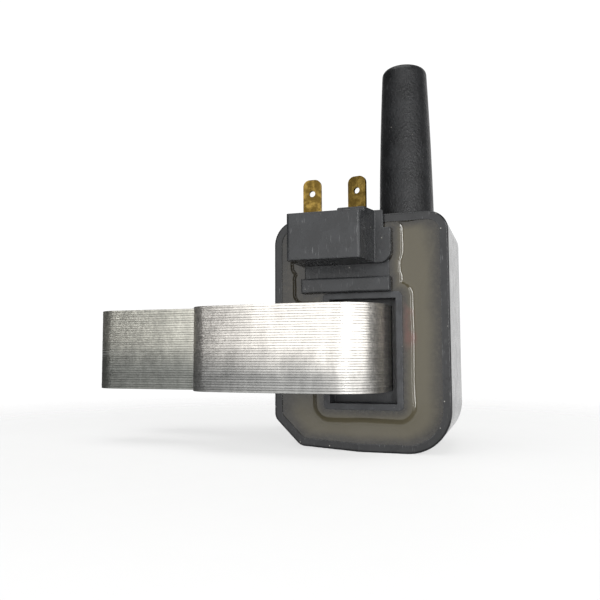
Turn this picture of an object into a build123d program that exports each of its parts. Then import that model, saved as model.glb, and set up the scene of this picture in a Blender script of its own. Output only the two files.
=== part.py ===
from build123d import *
import os

# Ignition coil with an open-window laminated core and a potted case.
# Millimetres. The origin is midway between the two mounting holes, on the bottom face of the core stack.
# +X runs from the mounting ears to the case, +Z up through the stack, and -Y is the potted, open side.

# ---- laminated core ----
LEAF_COUNT = 34                # steel leaves in the stack
LEAF_PITCH = 0.635             # one leaf of 24 gauge steel with its varnish
LEAF_COAT = 0.035              # the varnish between two leaves
HOLE_SPACING = 23.7            # between the two mounting holes
MOUNTING_HOLE_RADIUS = 3.25    # clears an M6 bolt
EAR_EDGE = 7.35                # hole centre to the ear's end and sides
EAR_REACH = 25.65              # hole centre to the outer leg
EAR_END_RADIUS = 7.0           # the ear's two end corners, round its hole
EAR_SLOT_RADIUS = 4.0          # the root of the slot between the ears
EAR_SLOT_ROOT = 3.0            # steel between the slot's end and the outer leg
EAR_SETBACK = 8.7              # the ear's front face lies behind the yoke's
OUTER_LEG_WIDTH = 16.5
LEG_WIDTH = 13.2               # the centre leg, which carries the bobbins
YOKE_DEPTH = 13.3
YOKE_CROWN = 1.6               # how far the front face bows out
YOKE_OUTER_RADIUS = 6.8        # front corner over the outer leg
YOKE_LEG_RADIUS = 11.5         # front corner over the centre leg
WINDOW_CORNER_RADIUS = 1.0
REAR_CORNER_RADIUS = 3.0
AIR_GAP = 0.4                  # at the end of the centre leg
RIVET_RADIUS = 2.0
RIVET_DIMPLE = 0.4             # depth of the dimple in each end
RIVET_DIMPLE_RADIUS = 1.0
RIVET_FROM_JOINT = 4.5         # in the outer leg
RIVET_FROM_LEG_MIDDLE = 3.3    # in the front yoke
WELD_RADIUS = 1.0

# ---- case ----
CASE_WALL = 2.1
CASE_TO_YOKE = 1.0             # rim to the inside of the front yoke
CASE_TO_LEG = 3.0              # side wall to the outer leg
CASE_RADIUS_TOP_LEFT = 6.6
CASE_RADIUS_TOP_RIGHT = 5.0
CASE_RADIUS_BOTTOM_RIGHT = 11.0
CASE_CHAMFER = 7.0             # bottom corner beside the outer leg
CASE_CHAMFER_ROUND = 3.0
CASE_BOTTOM_RISE = 1.0         # the bottom climbs towards the chamfer
CASE_RIM_ROUND = 0.5
CASE_BACK_ROUND = 1.5
RESIN_BELOW_RIM = 0.7
RESIN_LEFT = 4.6               # between the secondary bobbin and the case
RESIN_RIGHT = 3.3
RESIN_UNDER = 3.2
RESIN_BEHIND = 2.05

# ---- primary bobbin and winding ----
LEG_SIDE_CLEARANCE = 0.1
WEDGE_THICKNESS = 0.5
BOBBIN_WALL = 1.3
MOUTH_SIDE_GAP = 2.0           # round the leg, inside the mouth
MOUTH_END_GAP = 2.45
MOUTH_WALL = 1.6
MOUTH_DEPTH = 5.0
MOUTH_DROP = 0.7               # the mouth's centre lies below the leg's
MOUTH_CORNER_RADIUS = 1.2
FLANGE_THICKNESS = 1.2
PRIMARY_DEPTH = 2.2            # radial depth of the wire
PRIMARY_FLANGE_RIM = 0.4       # flange beyond the wire
WINDING_CORNER_RADIUS = 2.0
INSULATION_THICKNESS = 0.25
SPIGOT_PROUD = 0.5             # the bobbin's tail beyond the case's back
TAIL_TO_YOKE = 1.1             # the bobbin's tail to the rear yoke
SPIGOT_CLEARANCE = 0.05
FIRST_TURNS = 1.8              # primary turns left bare for the lead-outs

# ---- secondary bobbin and winding ----
SECTION_COUNT = 7
SECONDARY_GAP = 0.3            # primary flange to the secondary bobbin
SECONDARY_WALL = 1.1
SECONDARY_DEPTH = 3.8
SECONDARY_FLANGE_RIM = 0.7
SECTION_WALL = 1.0
SECTION_LENGTH = 1.75
SECONDARY_FROM_FLANGE = 1.4    # primary front flange to the first section
SECONDARY_CORNER_RADIUS = 3.5

# ---- terminal block ----
BLOCK_ABOVE_WINDING = 0.75
HEAD_PAST_CORNER = 0.9         # head's left side from the end of the case's corner radius
HEAD_WIDTH = 18.6
HEAD_HEIGHT = 11.6
HEAD_BELOW_CASE_TOP = 1.0
HEAD_PROUD = 12.3              # in front of the case's rim
HEAD_FLARE = 1.4               # the side widens towards the case
HEAD_EDGE_RADIUS = 0.9
PLATE_PROUD = 1.6
PLATE_RIGHT_OF_HEAD = 5.35
PLATE_TOP_BELOW_HEAD = 2.8
PLATE_CORNER_RADIUS = 3.0
PLATE_TO_SPIGOT = 0.5
BLOCK_TO_CASE = 0.1
NECK_HEIGHT = 3.5
NECK_RECESS = 0.4              # behind the rim
BAR_PROUD = 2.0
BAR_FROM_HEAD_LEFT = 0.5
BAR_WIDTH = 23.15
BAR_LIFT = 0.05                # above the bobbin's mouth
BAR_EDGE_RADIUS = 0.4
SADDLE_PAST_TAB = 2.3          # left of the right tab
LIP_PAST_HEAD = 3.45           # the saddle's lip, right of the head
SADDLE_PROUD = 7.2
SADDLE_ABOVE_HEAD = 1.8
SADDLE_REACH = 11.0            # over the top of the case
SADDLE_TO_TOWER = 0.6
SADDLE_EDGE_RADIUS = 0.5
SADDLE_LIFT = 0.05

# ---- terminal tabs, 4.8 series ----
TAB_WIDTH = 4.75
TAB_THICKNESS = 0.8
TAB_ABOVE_HEAD = 9.8
TAB_TIP_RADIUS = 1.7
TAB_HOLE_RADIUS = 0.8
TAB_HOLE_BELOW_TIP = 3.6
TAB_FROM_HEAD_LEFT = 4.75
TAB_SPACING = 11.65
TAB_PROUD = 5.0                # tab plane in front of the rim
TAB_FOOT_ABOVE_HEAD_BOTTOM = 2.2
TAB_TAIL = 4.0                 # foot behind the block
RIGHT_TAB_TURN = -12.0         # degrees, as twisted in use

# ---- high tension tower and socket ----
TOWER_TO_RIGHT_WALL = 4.3      # the tower's side to the outside of the case
TOWER_TO_RIM = 0.9
TOWER_HEIGHT = 39.9
TOWER_BASE_RADIUS = 7.05
TOWER_MID_RADIUS = 6.58
TOWER_TIP_RADIUS = 5.75
TOWER_TIP_ROUND = 1.8
TOWER_BORE_RADIUS = 3.7        # takes a 7 mm lead
TOWER_SPIGOT_RADIUS = 5.3
TOWER_SPIGOT_LENGTH = 5.2
TOWER_SPIGOT_CLEARANCE = 0.05
SOCKET_ABOVE_CASE = 2.6
SOCKET_HEIGHT = 11.0
SOCKET_SHOULDER = 0.3          # step in the bore, over the socket's pocket
SOCKET_WALL = 1.0
SOCKET_FLOOR = 2.0
SOCKET_PIN_RADIUS = 1.3
SOCKET_PIN_BELOW_SPIGOT = 3.0

# ---- leads and solder ----
PRIMARY_WIRE_RADIUS = 0.45
SECONDARY_WIRE_RADIUS = 0.25
SOLDER_RADIUS = 1.3
HT_SOLDER_RADIUS = 1.7
LEAD_BEND_RADIUS = 0.9

# ---- sizes that follow, from the leg outwards ----
STACK_HEIGHT = LEAF_COUNT * LEAF_PITCH - LEAF_COAT
STACK_MIDDLE = STACK_HEIGHT / 2
BORE_WIDTH = WEDGE_THICKNESS + LEG_WIDTH + LEG_SIDE_CLEARANCE
BORE_HEIGHT = STACK_HEIGHT + 2 * LEG_SIDE_CLEARANCE
TUBE_WIDTH = BORE_WIDTH + 2 * BOBBIN_WALL
TUBE_HEIGHT = BORE_HEIGHT + 2 * BOBBIN_WALL
PRIMARY_WIDTH = TUBE_WIDTH + 2 * PRIMARY_DEPTH
PRIMARY_HEIGHT = TUBE_HEIGHT + 2 * PRIMARY_DEPTH
SECONDARY_BORE_WIDTH = PRIMARY_WIDTH + 2 * (PRIMARY_FLANGE_RIM + SECONDARY_GAP)
SECONDARY_BORE_HEIGHT = PRIMARY_HEIGHT + 2 * (PRIMARY_FLANGE_RIM + SECONDARY_GAP)
SECONDARY_TUBE_WIDTH = SECONDARY_BORE_WIDTH + 2 * SECONDARY_WALL
SECONDARY_TUBE_HEIGHT = SECONDARY_BORE_HEIGHT + 2 * SECONDARY_WALL
SECTION_WIDTH = SECONDARY_TUBE_WIDTH + 2 * SECONDARY_DEPTH
SECTION_HEIGHT = SECONDARY_TUBE_HEIGHT + 2 * SECONDARY_DEPTH
SECONDARY_WIDTH = SECTION_WIDTH + 2 * SECONDARY_FLANGE_RIM
SECONDARY_HEIGHT = SECTION_HEIGHT + 2 * SECONDARY_FLANGE_RIM
MOUTH_WIDTH = LEG_WIDTH + 2 * (MOUTH_SIDE_GAP + MOUTH_WALL)
MOUTH_HEIGHT = STACK_HEIGHT + 2 * (MOUTH_END_GAP + MOUTH_WALL)

# ---- places along X, from the ears to the far side of the case ----
OUTER_LEG_LEFT = EAR_REACH
WINDOW_LEFT = OUTER_LEG_LEFT + OUTER_LEG_WIDTH
CASE_LEFT = WINDOW_LEFT + CASE_TO_LEG
BORE_MIDDLE = CASE_LEFT + CASE_WALL + RESIN_LEFT + SECONDARY_WIDTH / 2
WINDOW_RIGHT = BORE_MIDDLE - BORE_WIDTH / 2 + WEDGE_THICKNESS
LEG_MIDDLE = WINDOW_RIGHT + LEG_WIDTH / 2
LEG_RIGHT = WINDOW_RIGHT + LEG_WIDTH
CASE_RIGHT = BORE_MIDDLE + SECONDARY_WIDTH / 2 + RESIN_RIGHT + CASE_WALL
CASE_WIDTH = CASE_RIGHT - CASE_LEFT
HEAD_LEFT = CASE_LEFT + CASE_RADIUS_TOP_LEFT + HEAD_PAST_CORNER
HEAD_RIGHT = HEAD_LEFT + HEAD_WIDTH
TAB_LEFT_X = HEAD_LEFT + TAB_FROM_HEAD_LEFT
TAB_RIGHT_X = TAB_LEFT_X + TAB_SPACING
TOWER_X = CASE_RIGHT - TOWER_TO_RIGHT_WALL - TOWER_BASE_RADIUS
SADDLE_LEFT = TAB_RIGHT_X - TAB_WIDTH / 2 - SADDLE_PAST_TAB
SADDLE_RIGHT = TOWER_X - TOWER_BASE_RADIUS - SADDLE_TO_TOWER

# ---- places along Y, from the front yoke to the rear one ----
EAR_FRONT = -(HOLE_SPACING / 2 + EAR_EDGE)
EAR_BACK = HOLE_SPACING / 2 + EAR_EDGE
EAR_SLOT_HALF = HOLE_SPACING / 2 - EAR_EDGE
YOKE_FRONT = EAR_FRONT - EAR_SETBACK
WINDOW_FRONT = YOKE_FRONT + YOKE_DEPTH
RIM = WINDOW_FRONT + CASE_TO_YOKE
RESIN_FACE = RIM + RESIN_BELOW_RIM
FRONT_FLANGE = RIM + MOUTH_DEPTH
BLOCK_BACK = FRONT_FLANGE - BLOCK_TO_CASE
PRIMARY_START = FRONT_FLANGE + FLANGE_THICKNESS
SECONDARY_START = PRIMARY_START + SECONDARY_FROM_FLANGE
SECONDARY_END = SECONDARY_START + SECTION_COUNT * (SECTION_LENGTH + SECTION_WALL) + SECTION_WALL
PRIMARY_END = SECONDARY_END - FLANGE_THICKNESS
CASE_BACK = SECONDARY_END + RESIN_BEHIND + CASE_WALL
BOBBIN_TAIL = CASE_BACK + SPIGOT_PROUD
CORE_JOINT = BOBBIN_TAIL + TAIL_TO_YOKE
REAR_YOKE_BACK = CORE_JOINT + YOKE_DEPTH
TAB_PLANE = RIM - TAB_PROUD
LEAD_PLANE = PRIMARY_START + SECONDARY_FROM_FLANGE / 2
TOWER_Y = RIM + TOWER_TO_RIM + TOWER_BASE_RADIUS

# ---- heights, from the bottom of the case to the top of the tower ----
CASE_BOTTOM = STACK_MIDDLE - SECONDARY_HEIGHT / 2 - RESIN_UNDER - CASE_WALL
PRIMARY_TOP = STACK_MIDDLE + PRIMARY_HEIGHT / 2
MOUTH_TOP = STACK_MIDDLE - MOUTH_DROP + MOUTH_HEIGHT / 2
SECTION_TOP = STACK_MIDDLE + SECTION_HEIGHT / 2
HEAD_BOTTOM = STACK_MIDDLE + SECONDARY_HEIGHT / 2 + BLOCK_ABOVE_WINDING
HEAD_TOP = HEAD_BOTTOM + HEAD_HEIGHT
CASE_TOP = HEAD_TOP + HEAD_BELOW_CASE_TOP
TAB_FOOT = HEAD_BOTTOM + TAB_FOOT_ABOVE_HEAD_BOTTOM
TAB_FOOT_TOP = TAB_FOOT + TAB_THICKNESS
TAB_TIP = HEAD_TOP + TAB_ABOVE_HEAD
TOWER_TOP = CASE_TOP + TOWER_HEIGHT
SPIGOT_BOTTOM = CASE_TOP - TOWER_SPIGOT_LENGTH
SOCKET_BOTTOM = CASE_TOP + SOCKET_ABOVE_CASE
SOCKET_TOP = SOCKET_BOTTOM + SOCKET_HEIGHT
SOCKET_RADIUS = TOWER_BORE_RADIUS - SOCKET_SHOULDER
PIN_BOTTOM = SPIGOT_BOTTOM - SOCKET_PIN_BELOW_SPIGOT


def block(low, high):
    """A box between two opposite corners."""
    size = [high[i] - low[i] for i in range(3)]
    middle = [(high[i] + low[i]) / 2 for i in range(3)]
    return Pos(*middle) * Box(*size)


def through(outline, front, back):
    """Extrude an outline drawn in X and Z from one Y to another."""
    plane = Plane(origin=(0, back, 0), x_dir=(1, 0, 0), z_dir=(0, -1, 0))
    return extrude(plane * outline, amount=back - front)


def rounded(width, height, radius, x=BORE_MIDDLE, z=STACK_MIDDLE):
    """A rectangle with rounded corners, centred on the leg unless told otherwise."""
    return Pos(x, z) * RectangleRounded(width, height, radius)


def corner(outline, x, y, radius):
    """Round the corner of an outline that is nearest to a point."""
    nearest = outline.vertices().sort_by_distance((x, y, 0))[0]
    return fillet(nearest, radius)


def stack_of(outline):
    """Leaves of one outline, piled up through the core's height."""
    leaf = extrude(outline, amount=LEAF_PITCH - LEAF_COAT)
    return [Pos(0, 0, i * LEAF_PITCH) * leaf for i in range(LEAF_COUNT)]


def u_rivet_places():
    """Rivets in the outer leg and in the front yoke."""
    leg = OUTER_LEG_LEFT + OUTER_LEG_WIDTH / 2
    yoke = YOKE_FRONT + YOKE_DEPTH / 2
    return [(leg, yoke), (leg, CORE_JOINT - RIVET_FROM_JOINT), (LEG_MIDDLE - RIVET_FROM_LEG_MIDDLE, yoke)]


def i_rivet_places():
    """Rivets in the rear yoke."""
    yoke = CORE_JOINT + YOKE_DEPTH / 2
    return [(OUTER_LEG_LEFT + OUTER_LEG_WIDTH / 2, yoke), (LEG_MIDDLE, yoke)]


def core_u_laminations():
    """Leaves with two ears, the outer leg, the front yoke and the centre leg."""
    front_corner = YOKE_FRONT + YOKE_CROWN
    leg_end = CORE_JOINT - AIR_GAP
    ear_end = -EAR_EDGE
    slot_end = OUTER_LEG_LEFT - EAR_SLOT_ROOT
    crown = ThreePointArc(
        (LEG_RIGHT, front_corner),
        ((LEG_RIGHT + OUTER_LEG_LEFT) / 2, YOKE_FRONT),
        (OUTER_LEG_LEFT, front_corner),
    )
    sides = Polyline(
        (OUTER_LEG_LEFT, front_corner),
        (OUTER_LEG_LEFT, EAR_FRONT),
        (ear_end, EAR_FRONT),
        (ear_end, -EAR_SLOT_HALF),
        (slot_end, -EAR_SLOT_HALF),
        (slot_end, EAR_SLOT_HALF),
        (ear_end, EAR_SLOT_HALF),
        (ear_end, EAR_BACK),
        (OUTER_LEG_LEFT, EAR_BACK),
        (OUTER_LEG_LEFT, CORE_JOINT),
        (WINDOW_LEFT, CORE_JOINT),
        (WINDOW_LEFT, WINDOW_FRONT),
        (WINDOW_RIGHT, WINDOW_FRONT),
        (WINDOW_RIGHT, leg_end),
        (LEG_RIGHT, leg_end),
        (LEG_RIGHT, front_corner),
    )
    leaf = make_face(Curve() + [crown, sides])
    leaf = corner(leaf, LEG_RIGHT, front_corner, YOKE_LEG_RADIUS)
    leaf = corner(leaf, OUTER_LEG_LEFT, front_corner, YOKE_OUTER_RADIUS)
    for y in (EAR_FRONT, -EAR_SLOT_HALF, EAR_SLOT_HALF, EAR_BACK):
        leaf = corner(leaf, ear_end, y, EAR_END_RADIUS)
    for y in (-EAR_SLOT_HALF, EAR_SLOT_HALF):
        leaf = corner(leaf, slot_end, y, EAR_SLOT_RADIUS)
    for x in (WINDOW_LEFT, WINDOW_RIGHT):
        leaf = corner(leaf, x, WINDOW_FRONT, WINDOW_CORNER_RADIUS)
    for y in (-HOLE_SPACING / 2, HOLE_SPACING / 2):
        leaf -= Pos(0, y) * Circle(MOUNTING_HOLE_RADIUS)
    for place in u_rivet_places():
        leaf -= Pos(*place) * Circle(RIVET_RADIUS)
    return stack_of(leaf)


def core_i_laminations():
    """Straight leaves that close the core behind the case."""
    leaf = make_face(
        Polyline(
            (OUTER_LEG_LEFT, CORE_JOINT),
            (LEG_RIGHT, CORE_JOINT),
            (LEG_RIGHT, REAR_YOKE_BACK),
            (OUTER_LEG_LEFT, REAR_YOKE_BACK),
            close=True,
        )
    )
    for x in (OUTER_LEG_LEFT, LEG_RIGHT):
        leaf = corner(leaf, x, REAR_YOKE_BACK, REAR_CORNER_RADIUS)
    for place in i_rivet_places():
        leaf -= Pos(*place) * Circle(RIVET_RADIUS)
    return stack_of(leaf)


def core_rivets():
    """Steel pins swaged flush in both faces of the stack."""
    pin = Pos(0, 0, STACK_MIDDLE) * Cylinder(RIVET_RADIUS, STACK_HEIGHT)
    for z in (0, STACK_HEIGHT):
        pin -= Pos(0, 0, z) * Cylinder(RIVET_DIMPLE_RADIUS, 2 * RIVET_DIMPLE)
    return [Pos(x, y, 0) * pin for x, y in u_rivet_places() + i_rivet_places()]


def core_welds():
    """Weld beads across the joint between the two stacks."""
    bead = Pos(0, 0, STACK_MIDDLE) * Cylinder(WELD_RADIUS, STACK_HEIGHT)
    outer = Pos(OUTER_LEG_LEFT, CORE_JOINT, 0) * bead
    outer -= block((OUTER_LEG_LEFT, EAR_FRONT, 0), (LEG_RIGHT, REAR_YOKE_BACK, STACK_HEIGHT))
    outer -= block((0, EAR_FRONT, 0), (OUTER_LEG_LEFT, EAR_BACK, STACK_HEIGHT))
    inner = Pos(LEG_RIGHT, CORE_JOINT, 0) * bead
    inner -= block((OUTER_LEG_LEFT, EAR_FRONT, 0), (LEG_RIGHT, REAR_YOKE_BACK, STACK_HEIGHT))
    return [outer, inner]


def air_gap_shim():
    """Fibre strip between the centre leg and the rear yoke."""
    low = (WINDOW_RIGHT, CORE_JOINT - AIR_GAP, 0)
    high = (LEG_RIGHT, CORE_JOINT, STACK_HEIGHT)
    return block(low, high)


def leg_wedge():
    """Strip that takes up the play between the centre leg and the bobbin."""
    low = (WINDOW_RIGHT - WEDGE_THICKNESS, FRONT_FLANGE, LEG_SIDE_CLEARANCE)
    high = (WINDOW_RIGHT, CASE_BACK, STACK_HEIGHT - LEG_SIDE_CLEARANCE)
    return block(low, high)


def case_outline():
    """Outer outline of the case, seen from the potted side."""
    outline = make_face(
        Polyline(
            (CASE_LEFT, CASE_TOP),
            (CASE_RIGHT, CASE_TOP),
            (CASE_RIGHT, CASE_BOTTOM),
            (CASE_LEFT + CASE_WIDTH / 2, CASE_BOTTOM),
            (CASE_LEFT + CASE_CHAMFER, CASE_BOTTOM + CASE_BOTTOM_RISE),
            (CASE_LEFT, CASE_BOTTOM + CASE_CHAMFER + CASE_BOTTOM_RISE),
            close=True,
        )
    )
    outline = corner(outline, CASE_LEFT, CASE_TOP, CASE_RADIUS_TOP_LEFT)
    outline = corner(outline, CASE_RIGHT, CASE_TOP, CASE_RADIUS_TOP_RIGHT)
    outline = corner(outline, CASE_RIGHT, CASE_BOTTOM, CASE_RADIUS_BOTTOM_RIGHT)
    outline = corner(outline, CASE_LEFT + CASE_CHAMFER, CASE_BOTTOM + CASE_BOTTOM_RISE, CASE_CHAMFER_ROUND)
    outline = corner(outline, CASE_LEFT, CASE_BOTTOM + CASE_CHAMFER + CASE_BOTTOM_RISE, CASE_CHAMFER_ROUND)
    return outline


def cavity(front):
    """The space inside the case, from a given Y to its back wall."""
    inside = offset(case_outline(), amount=-CASE_WALL)
    return through(inside, front, CASE_BACK - CASE_WALL)


def case_shell():
    """Moulded tub, open at the front."""
    shell = through(case_outline(), RIM, CASE_BACK)
    shell = fillet(shell.faces().sort_by(Axis.Y)[-1].edges(), CASE_BACK_ROUND)
    shell -= cavity(RIM)
    rim = shell.faces().sort_by(Axis.Y)[0].outer_wire().edges()
    shell = fillet(rim, CASE_RIM_ROUND)
    tail = rounded(
        TUBE_WIDTH + 2 * SPIGOT_CLEARANCE, TUBE_HEIGHT + 2 * SPIGOT_CLEARANCE, WINDING_CORNER_RADIUS
    )
    shell -= through(tail, SECONDARY_END, CASE_BACK)
    tower_hole = Cylinder(TOWER_SPIGOT_RADIUS + TOWER_SPIGOT_CLEARANCE, 3 * CASE_WALL)
    shell -= Pos(TOWER_X, TOWER_Y, CASE_TOP) * tower_hole
    return shell


def bobbin_envelope():
    """The primary bobbin with its bore and mouth filled in."""
    mouth = rounded(MOUTH_WIDTH, MOUTH_HEIGHT, MOUTH_CORNER_RADIUS, LEG_MIDDLE, STACK_MIDDLE - MOUTH_DROP)
    flange_width = PRIMARY_WIDTH + 2 * PRIMARY_FLANGE_RIM
    flange_height = PRIMARY_HEIGHT + 2 * PRIMARY_FLANGE_RIM
    flange = rounded(flange_width, flange_height, WINDING_CORNER_RADIUS)
    tube = rounded(TUBE_WIDTH, TUBE_HEIGHT, WINDING_CORNER_RADIUS)
    body = through(mouth, RIM, FRONT_FLANGE)
    body += through(flange, FRONT_FLANGE, PRIMARY_START)
    body += through(tube, PRIMARY_START, BOBBIN_TAIL)
    body += through(flange, PRIMARY_END, PRIMARY_END + FLANGE_THICKNESS)
    return body


def primary_bobbin():
    """Moulded bobbin that slides on the centre leg, with a wide mouth at the front."""
    mouth_inside = Pos(LEG_MIDDLE, STACK_MIDDLE - MOUTH_DROP) * Rectangle(
        MOUTH_WIDTH - 2 * MOUTH_WALL, MOUTH_HEIGHT - 2 * MOUTH_WALL
    )
    bore = Pos(BORE_MIDDLE, STACK_MIDDLE) * Rectangle(BORE_WIDTH, BORE_HEIGHT)
    bobbin = bobbin_envelope()
    bobbin -= through(mouth_inside, RIM, FRONT_FLANGE)
    bobbin -= through(bore, FRONT_FLANGE, BOBBIN_TAIL)
    return bobbin


def primary_winding():
    """Enamelled copper wire, wound between the primary bobbin's flanges."""
    outer = rounded(PRIMARY_WIDTH, PRIMARY_HEIGHT, WINDING_CORNER_RADIUS + PRIMARY_DEPTH)
    inner = rounded(TUBE_WIDTH, TUBE_HEIGHT, WINDING_CORNER_RADIUS)
    return through(outer - inner, PRIMARY_START, PRIMARY_END)


def primary_insulation():
    """Film wrapped round the primary winding, clear of its first turns."""
    wrap_width = PRIMARY_WIDTH + 2 * INSULATION_THICKNESS
    wrap_height = PRIMARY_HEIGHT + 2 * INSULATION_THICKNESS
    wrap_radius = WINDING_CORNER_RADIUS + PRIMARY_DEPTH
    outer = rounded(wrap_width, wrap_height, wrap_radius + INSULATION_THICKNESS)
    inner = rounded(PRIMARY_WIDTH, PRIMARY_HEIGHT, wrap_radius)
    return through(outer - inner, PRIMARY_START + FIRST_TURNS, PRIMARY_END)


def secondary_bobbin():
    """Sectioned bobbin that holds the fine wire in narrow slots."""
    bore = rounded(SECONDARY_BORE_WIDTH, SECONDARY_BORE_HEIGHT, WINDING_CORNER_RADIUS)
    tube = rounded(SECONDARY_TUBE_WIDTH, SECONDARY_TUBE_HEIGHT, SECONDARY_CORNER_RADIUS)
    wall = rounded(SECONDARY_WIDTH, SECONDARY_HEIGHT, SECONDARY_CORNER_RADIUS + SECONDARY_DEPTH)
    bobbin = through(tube, SECONDARY_START, SECONDARY_END)
    for i in range(SECTION_COUNT + 1):
        front = SECONDARY_START + i * (SECTION_LENGTH + SECTION_WALL)
        bobbin += through(wall, front, front + SECTION_WALL)
    return bobbin - through(bore, SECONDARY_START, SECONDARY_END)


def section_front(i):
    """Front of one winding slot in the secondary bobbin."""
    return SECONDARY_START + SECTION_WALL + i * (SECTION_LENGTH + SECTION_WALL)


def secondary_winding():
    """Fine enamelled wire, one coil in each slot."""
    outer = rounded(SECTION_WIDTH, SECTION_HEIGHT, SECONDARY_CORNER_RADIUS + SECONDARY_DEPTH)
    inner = rounded(SECONDARY_TUBE_WIDTH, SECONDARY_TUBE_HEIGHT, SECONDARY_CORNER_RADIUS)
    coil = outer - inner
    fronts = [section_front(i) for i in range(SECTION_COUNT)]
    return [through(coil, front, front + SECTION_LENGTH) for front in fronts]


def plan(points, low, high):
    """Extrude a plan outline from one height to another."""
    return Pos(0, 0, low) * extrude(make_face(Polyline(*points, close=True)), amount=high - low)


def terminal_block_solid():
    """Terminal block before the tabs are moulded in."""
    front = RIM - HEAD_PROUD
    rim_side = RIM - BLOCK_TO_CASE
    head = plan(
        [(HEAD_LEFT, front), (HEAD_RIGHT, front), (HEAD_RIGHT + HEAD_FLARE, rim_side), (HEAD_LEFT, rim_side)],
        HEAD_BOTTOM,
        HEAD_TOP,
    )
    upright = head.edges().filter_by(Axis.Z).sort_by(Axis.Y)[0:2]
    head = fillet(upright, HEAD_EDGE_RADIUS)

    plate_right = HEAD_RIGHT + PLATE_RIGHT_OF_HEAD
    plate_top = HEAD_TOP - PLATE_TOP_BELOW_HEAD
    plate_front = RIM - PLATE_PROUD
    plate_back = TOWER_Y - TOWER_SPIGOT_RADIUS - PLATE_TO_SPIGOT
    plate = block((HEAD_LEFT, plate_front, HEAD_BOTTOM), (plate_right, plate_back, plate_top))
    low_corner = plate.edges().filter_by(Axis.Y).sort_by_distance((plate_right, plate_front, HEAD_BOTTOM))[0]
    plate = fillet(low_corner, PLATE_CORNER_RADIUS)

    bar_left = HEAD_LEFT + BAR_FROM_HEAD_LEFT
    bar_right = bar_left + BAR_WIDTH
    bar_bottom = MOUTH_TOP + BAR_LIFT
    bar_top = HEAD_BOTTOM - NECK_HEIGHT
    bar = block((bar_left, RIM - BAR_PROUD, bar_bottom), (bar_right, BLOCK_BACK, bar_top))
    bar = fillet(bar.faces().sort_by(Axis.Y)[0].edges(), BAR_EDGE_RADIUS)
    neck_margin = BAR_EDGE_RADIUS
    neck_front = RIM + NECK_RECESS
    neck_low = (bar_left + neck_margin, neck_front, bar_top - BAR_EDGE_RADIUS)
    neck = block(neck_low, (bar_right - neck_margin, BLOCK_BACK, HEAD_BOTTOM + PLATE_CORNER_RADIUS))

    saddle_top = HEAD_TOP + SADDLE_ABOVE_HEAD
    saddle_front = RIM - SADDLE_PROUD
    lip_right = HEAD_RIGHT + LIP_PAST_HEAD
    saddle = plan(
        [
            (SADDLE_LEFT, saddle_front),
            (HEAD_RIGHT, saddle_front),
            (HEAD_RIGHT + HEAD_FLARE, plate_front),
            (lip_right, plate_front),
            (lip_right, rim_side),
            (SADDLE_LEFT, rim_side),
        ],
        plate_top,
        saddle_top,
    )
    hood_low = (SADDLE_LEFT, rim_side, CASE_TOP + SADDLE_LIFT)
    saddle += block(hood_low, (SADDLE_RIGHT, RIM + SADDLE_REACH, saddle_top))
    crest = saddle.faces().sort_by(Axis.Z)[-1].edges()
    saddle = fillet(crest, SADDLE_EDGE_RADIUS)
    return head + plate + bar + neck + saddle


def tab(x, turn):
    """Brass tab with a foot bent back through the block into the case."""
    rise = TAB_TIP - TAB_FOOT
    blade = Pos(0, 0, TAB_FOOT + rise / 2) * Box(TAB_WIDTH, TAB_THICKNESS, rise)
    tips = blade.edges().filter_by(Axis.Y).sort_by(Axis.Z)[-2:]
    blade = fillet(tips, TAB_TIP_RADIUS)
    hole = Rot(90, 0, 0) * Cylinder(TAB_HOLE_RADIUS, 2 * TAB_THICKNESS)
    blade -= Pos(0, 0, TAB_TIP - TAB_HOLE_BELOW_TIP) * hole
    blade = Pos(x, TAB_PLANE, 0) * Rot(0, 0, turn) * blade
    foot_low = (x - TAB_WIDTH / 2, TAB_PLANE, TAB_FOOT)
    foot = block(foot_low, (x + TAB_WIDTH / 2, BLOCK_BACK + TAB_TAIL, TAB_FOOT_TOP))
    return blade + foot


def terminal_tab_left():
    return tab(TAB_LEFT_X, 0)


def terminal_tab_right():
    return tab(TAB_RIGHT_X, RIGHT_TAB_TURN)


def terminal_block():
    """Moulding that carries the tabs and hooks over the top of the case."""
    return terminal_block_solid() - terminal_tab_left() - terminal_tab_right()


def tower_column():
    """Outside of the tower, a slender barrel that narrows upwards."""
    side = ThreePointArc(
        (TOWER_BASE_RADIUS, CASE_TOP),
        (TOWER_MID_RADIUS, CASE_TOP + TOWER_HEIGHT / 2),
        (TOWER_TIP_RADIUS, TOWER_TOP),
    )
    rest = Polyline(
        (TOWER_TIP_RADIUS, TOWER_TOP),
        (0, TOWER_TOP),
        (0, SPIGOT_BOTTOM),
        (TOWER_SPIGOT_RADIUS, SPIGOT_BOTTOM),
        (TOWER_SPIGOT_RADIUS, CASE_TOP),
        (TOWER_BASE_RADIUS, CASE_TOP),
    )
    half = make_face(Curve() + [side, rest])
    half = corner(half, TOWER_TIP_RADIUS, TOWER_TOP, TOWER_TIP_ROUND)
    return revolve(Plane.XZ * half, Axis.Z)


def upright(radius, low, high):
    """A round bar on the tower's axis."""
    return Pos(TOWER_X, TOWER_Y, (low + high) / 2) * Cylinder(radius, high - low)


def ht_tower():
    """Moulded tower with a bore for the high tension lead."""
    tower = Pos(TOWER_X, TOWER_Y, 0) * tower_column()
    tower -= upright(TOWER_BORE_RADIUS, SOCKET_TOP, TOWER_TOP)
    tower -= upright(SOCKET_RADIUS, SOCKET_BOTTOM, SOCKET_TOP)
    return tower - upright(SOCKET_PIN_RADIUS, SPIGOT_BOTTOM, SOCKET_BOTTOM)


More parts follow.
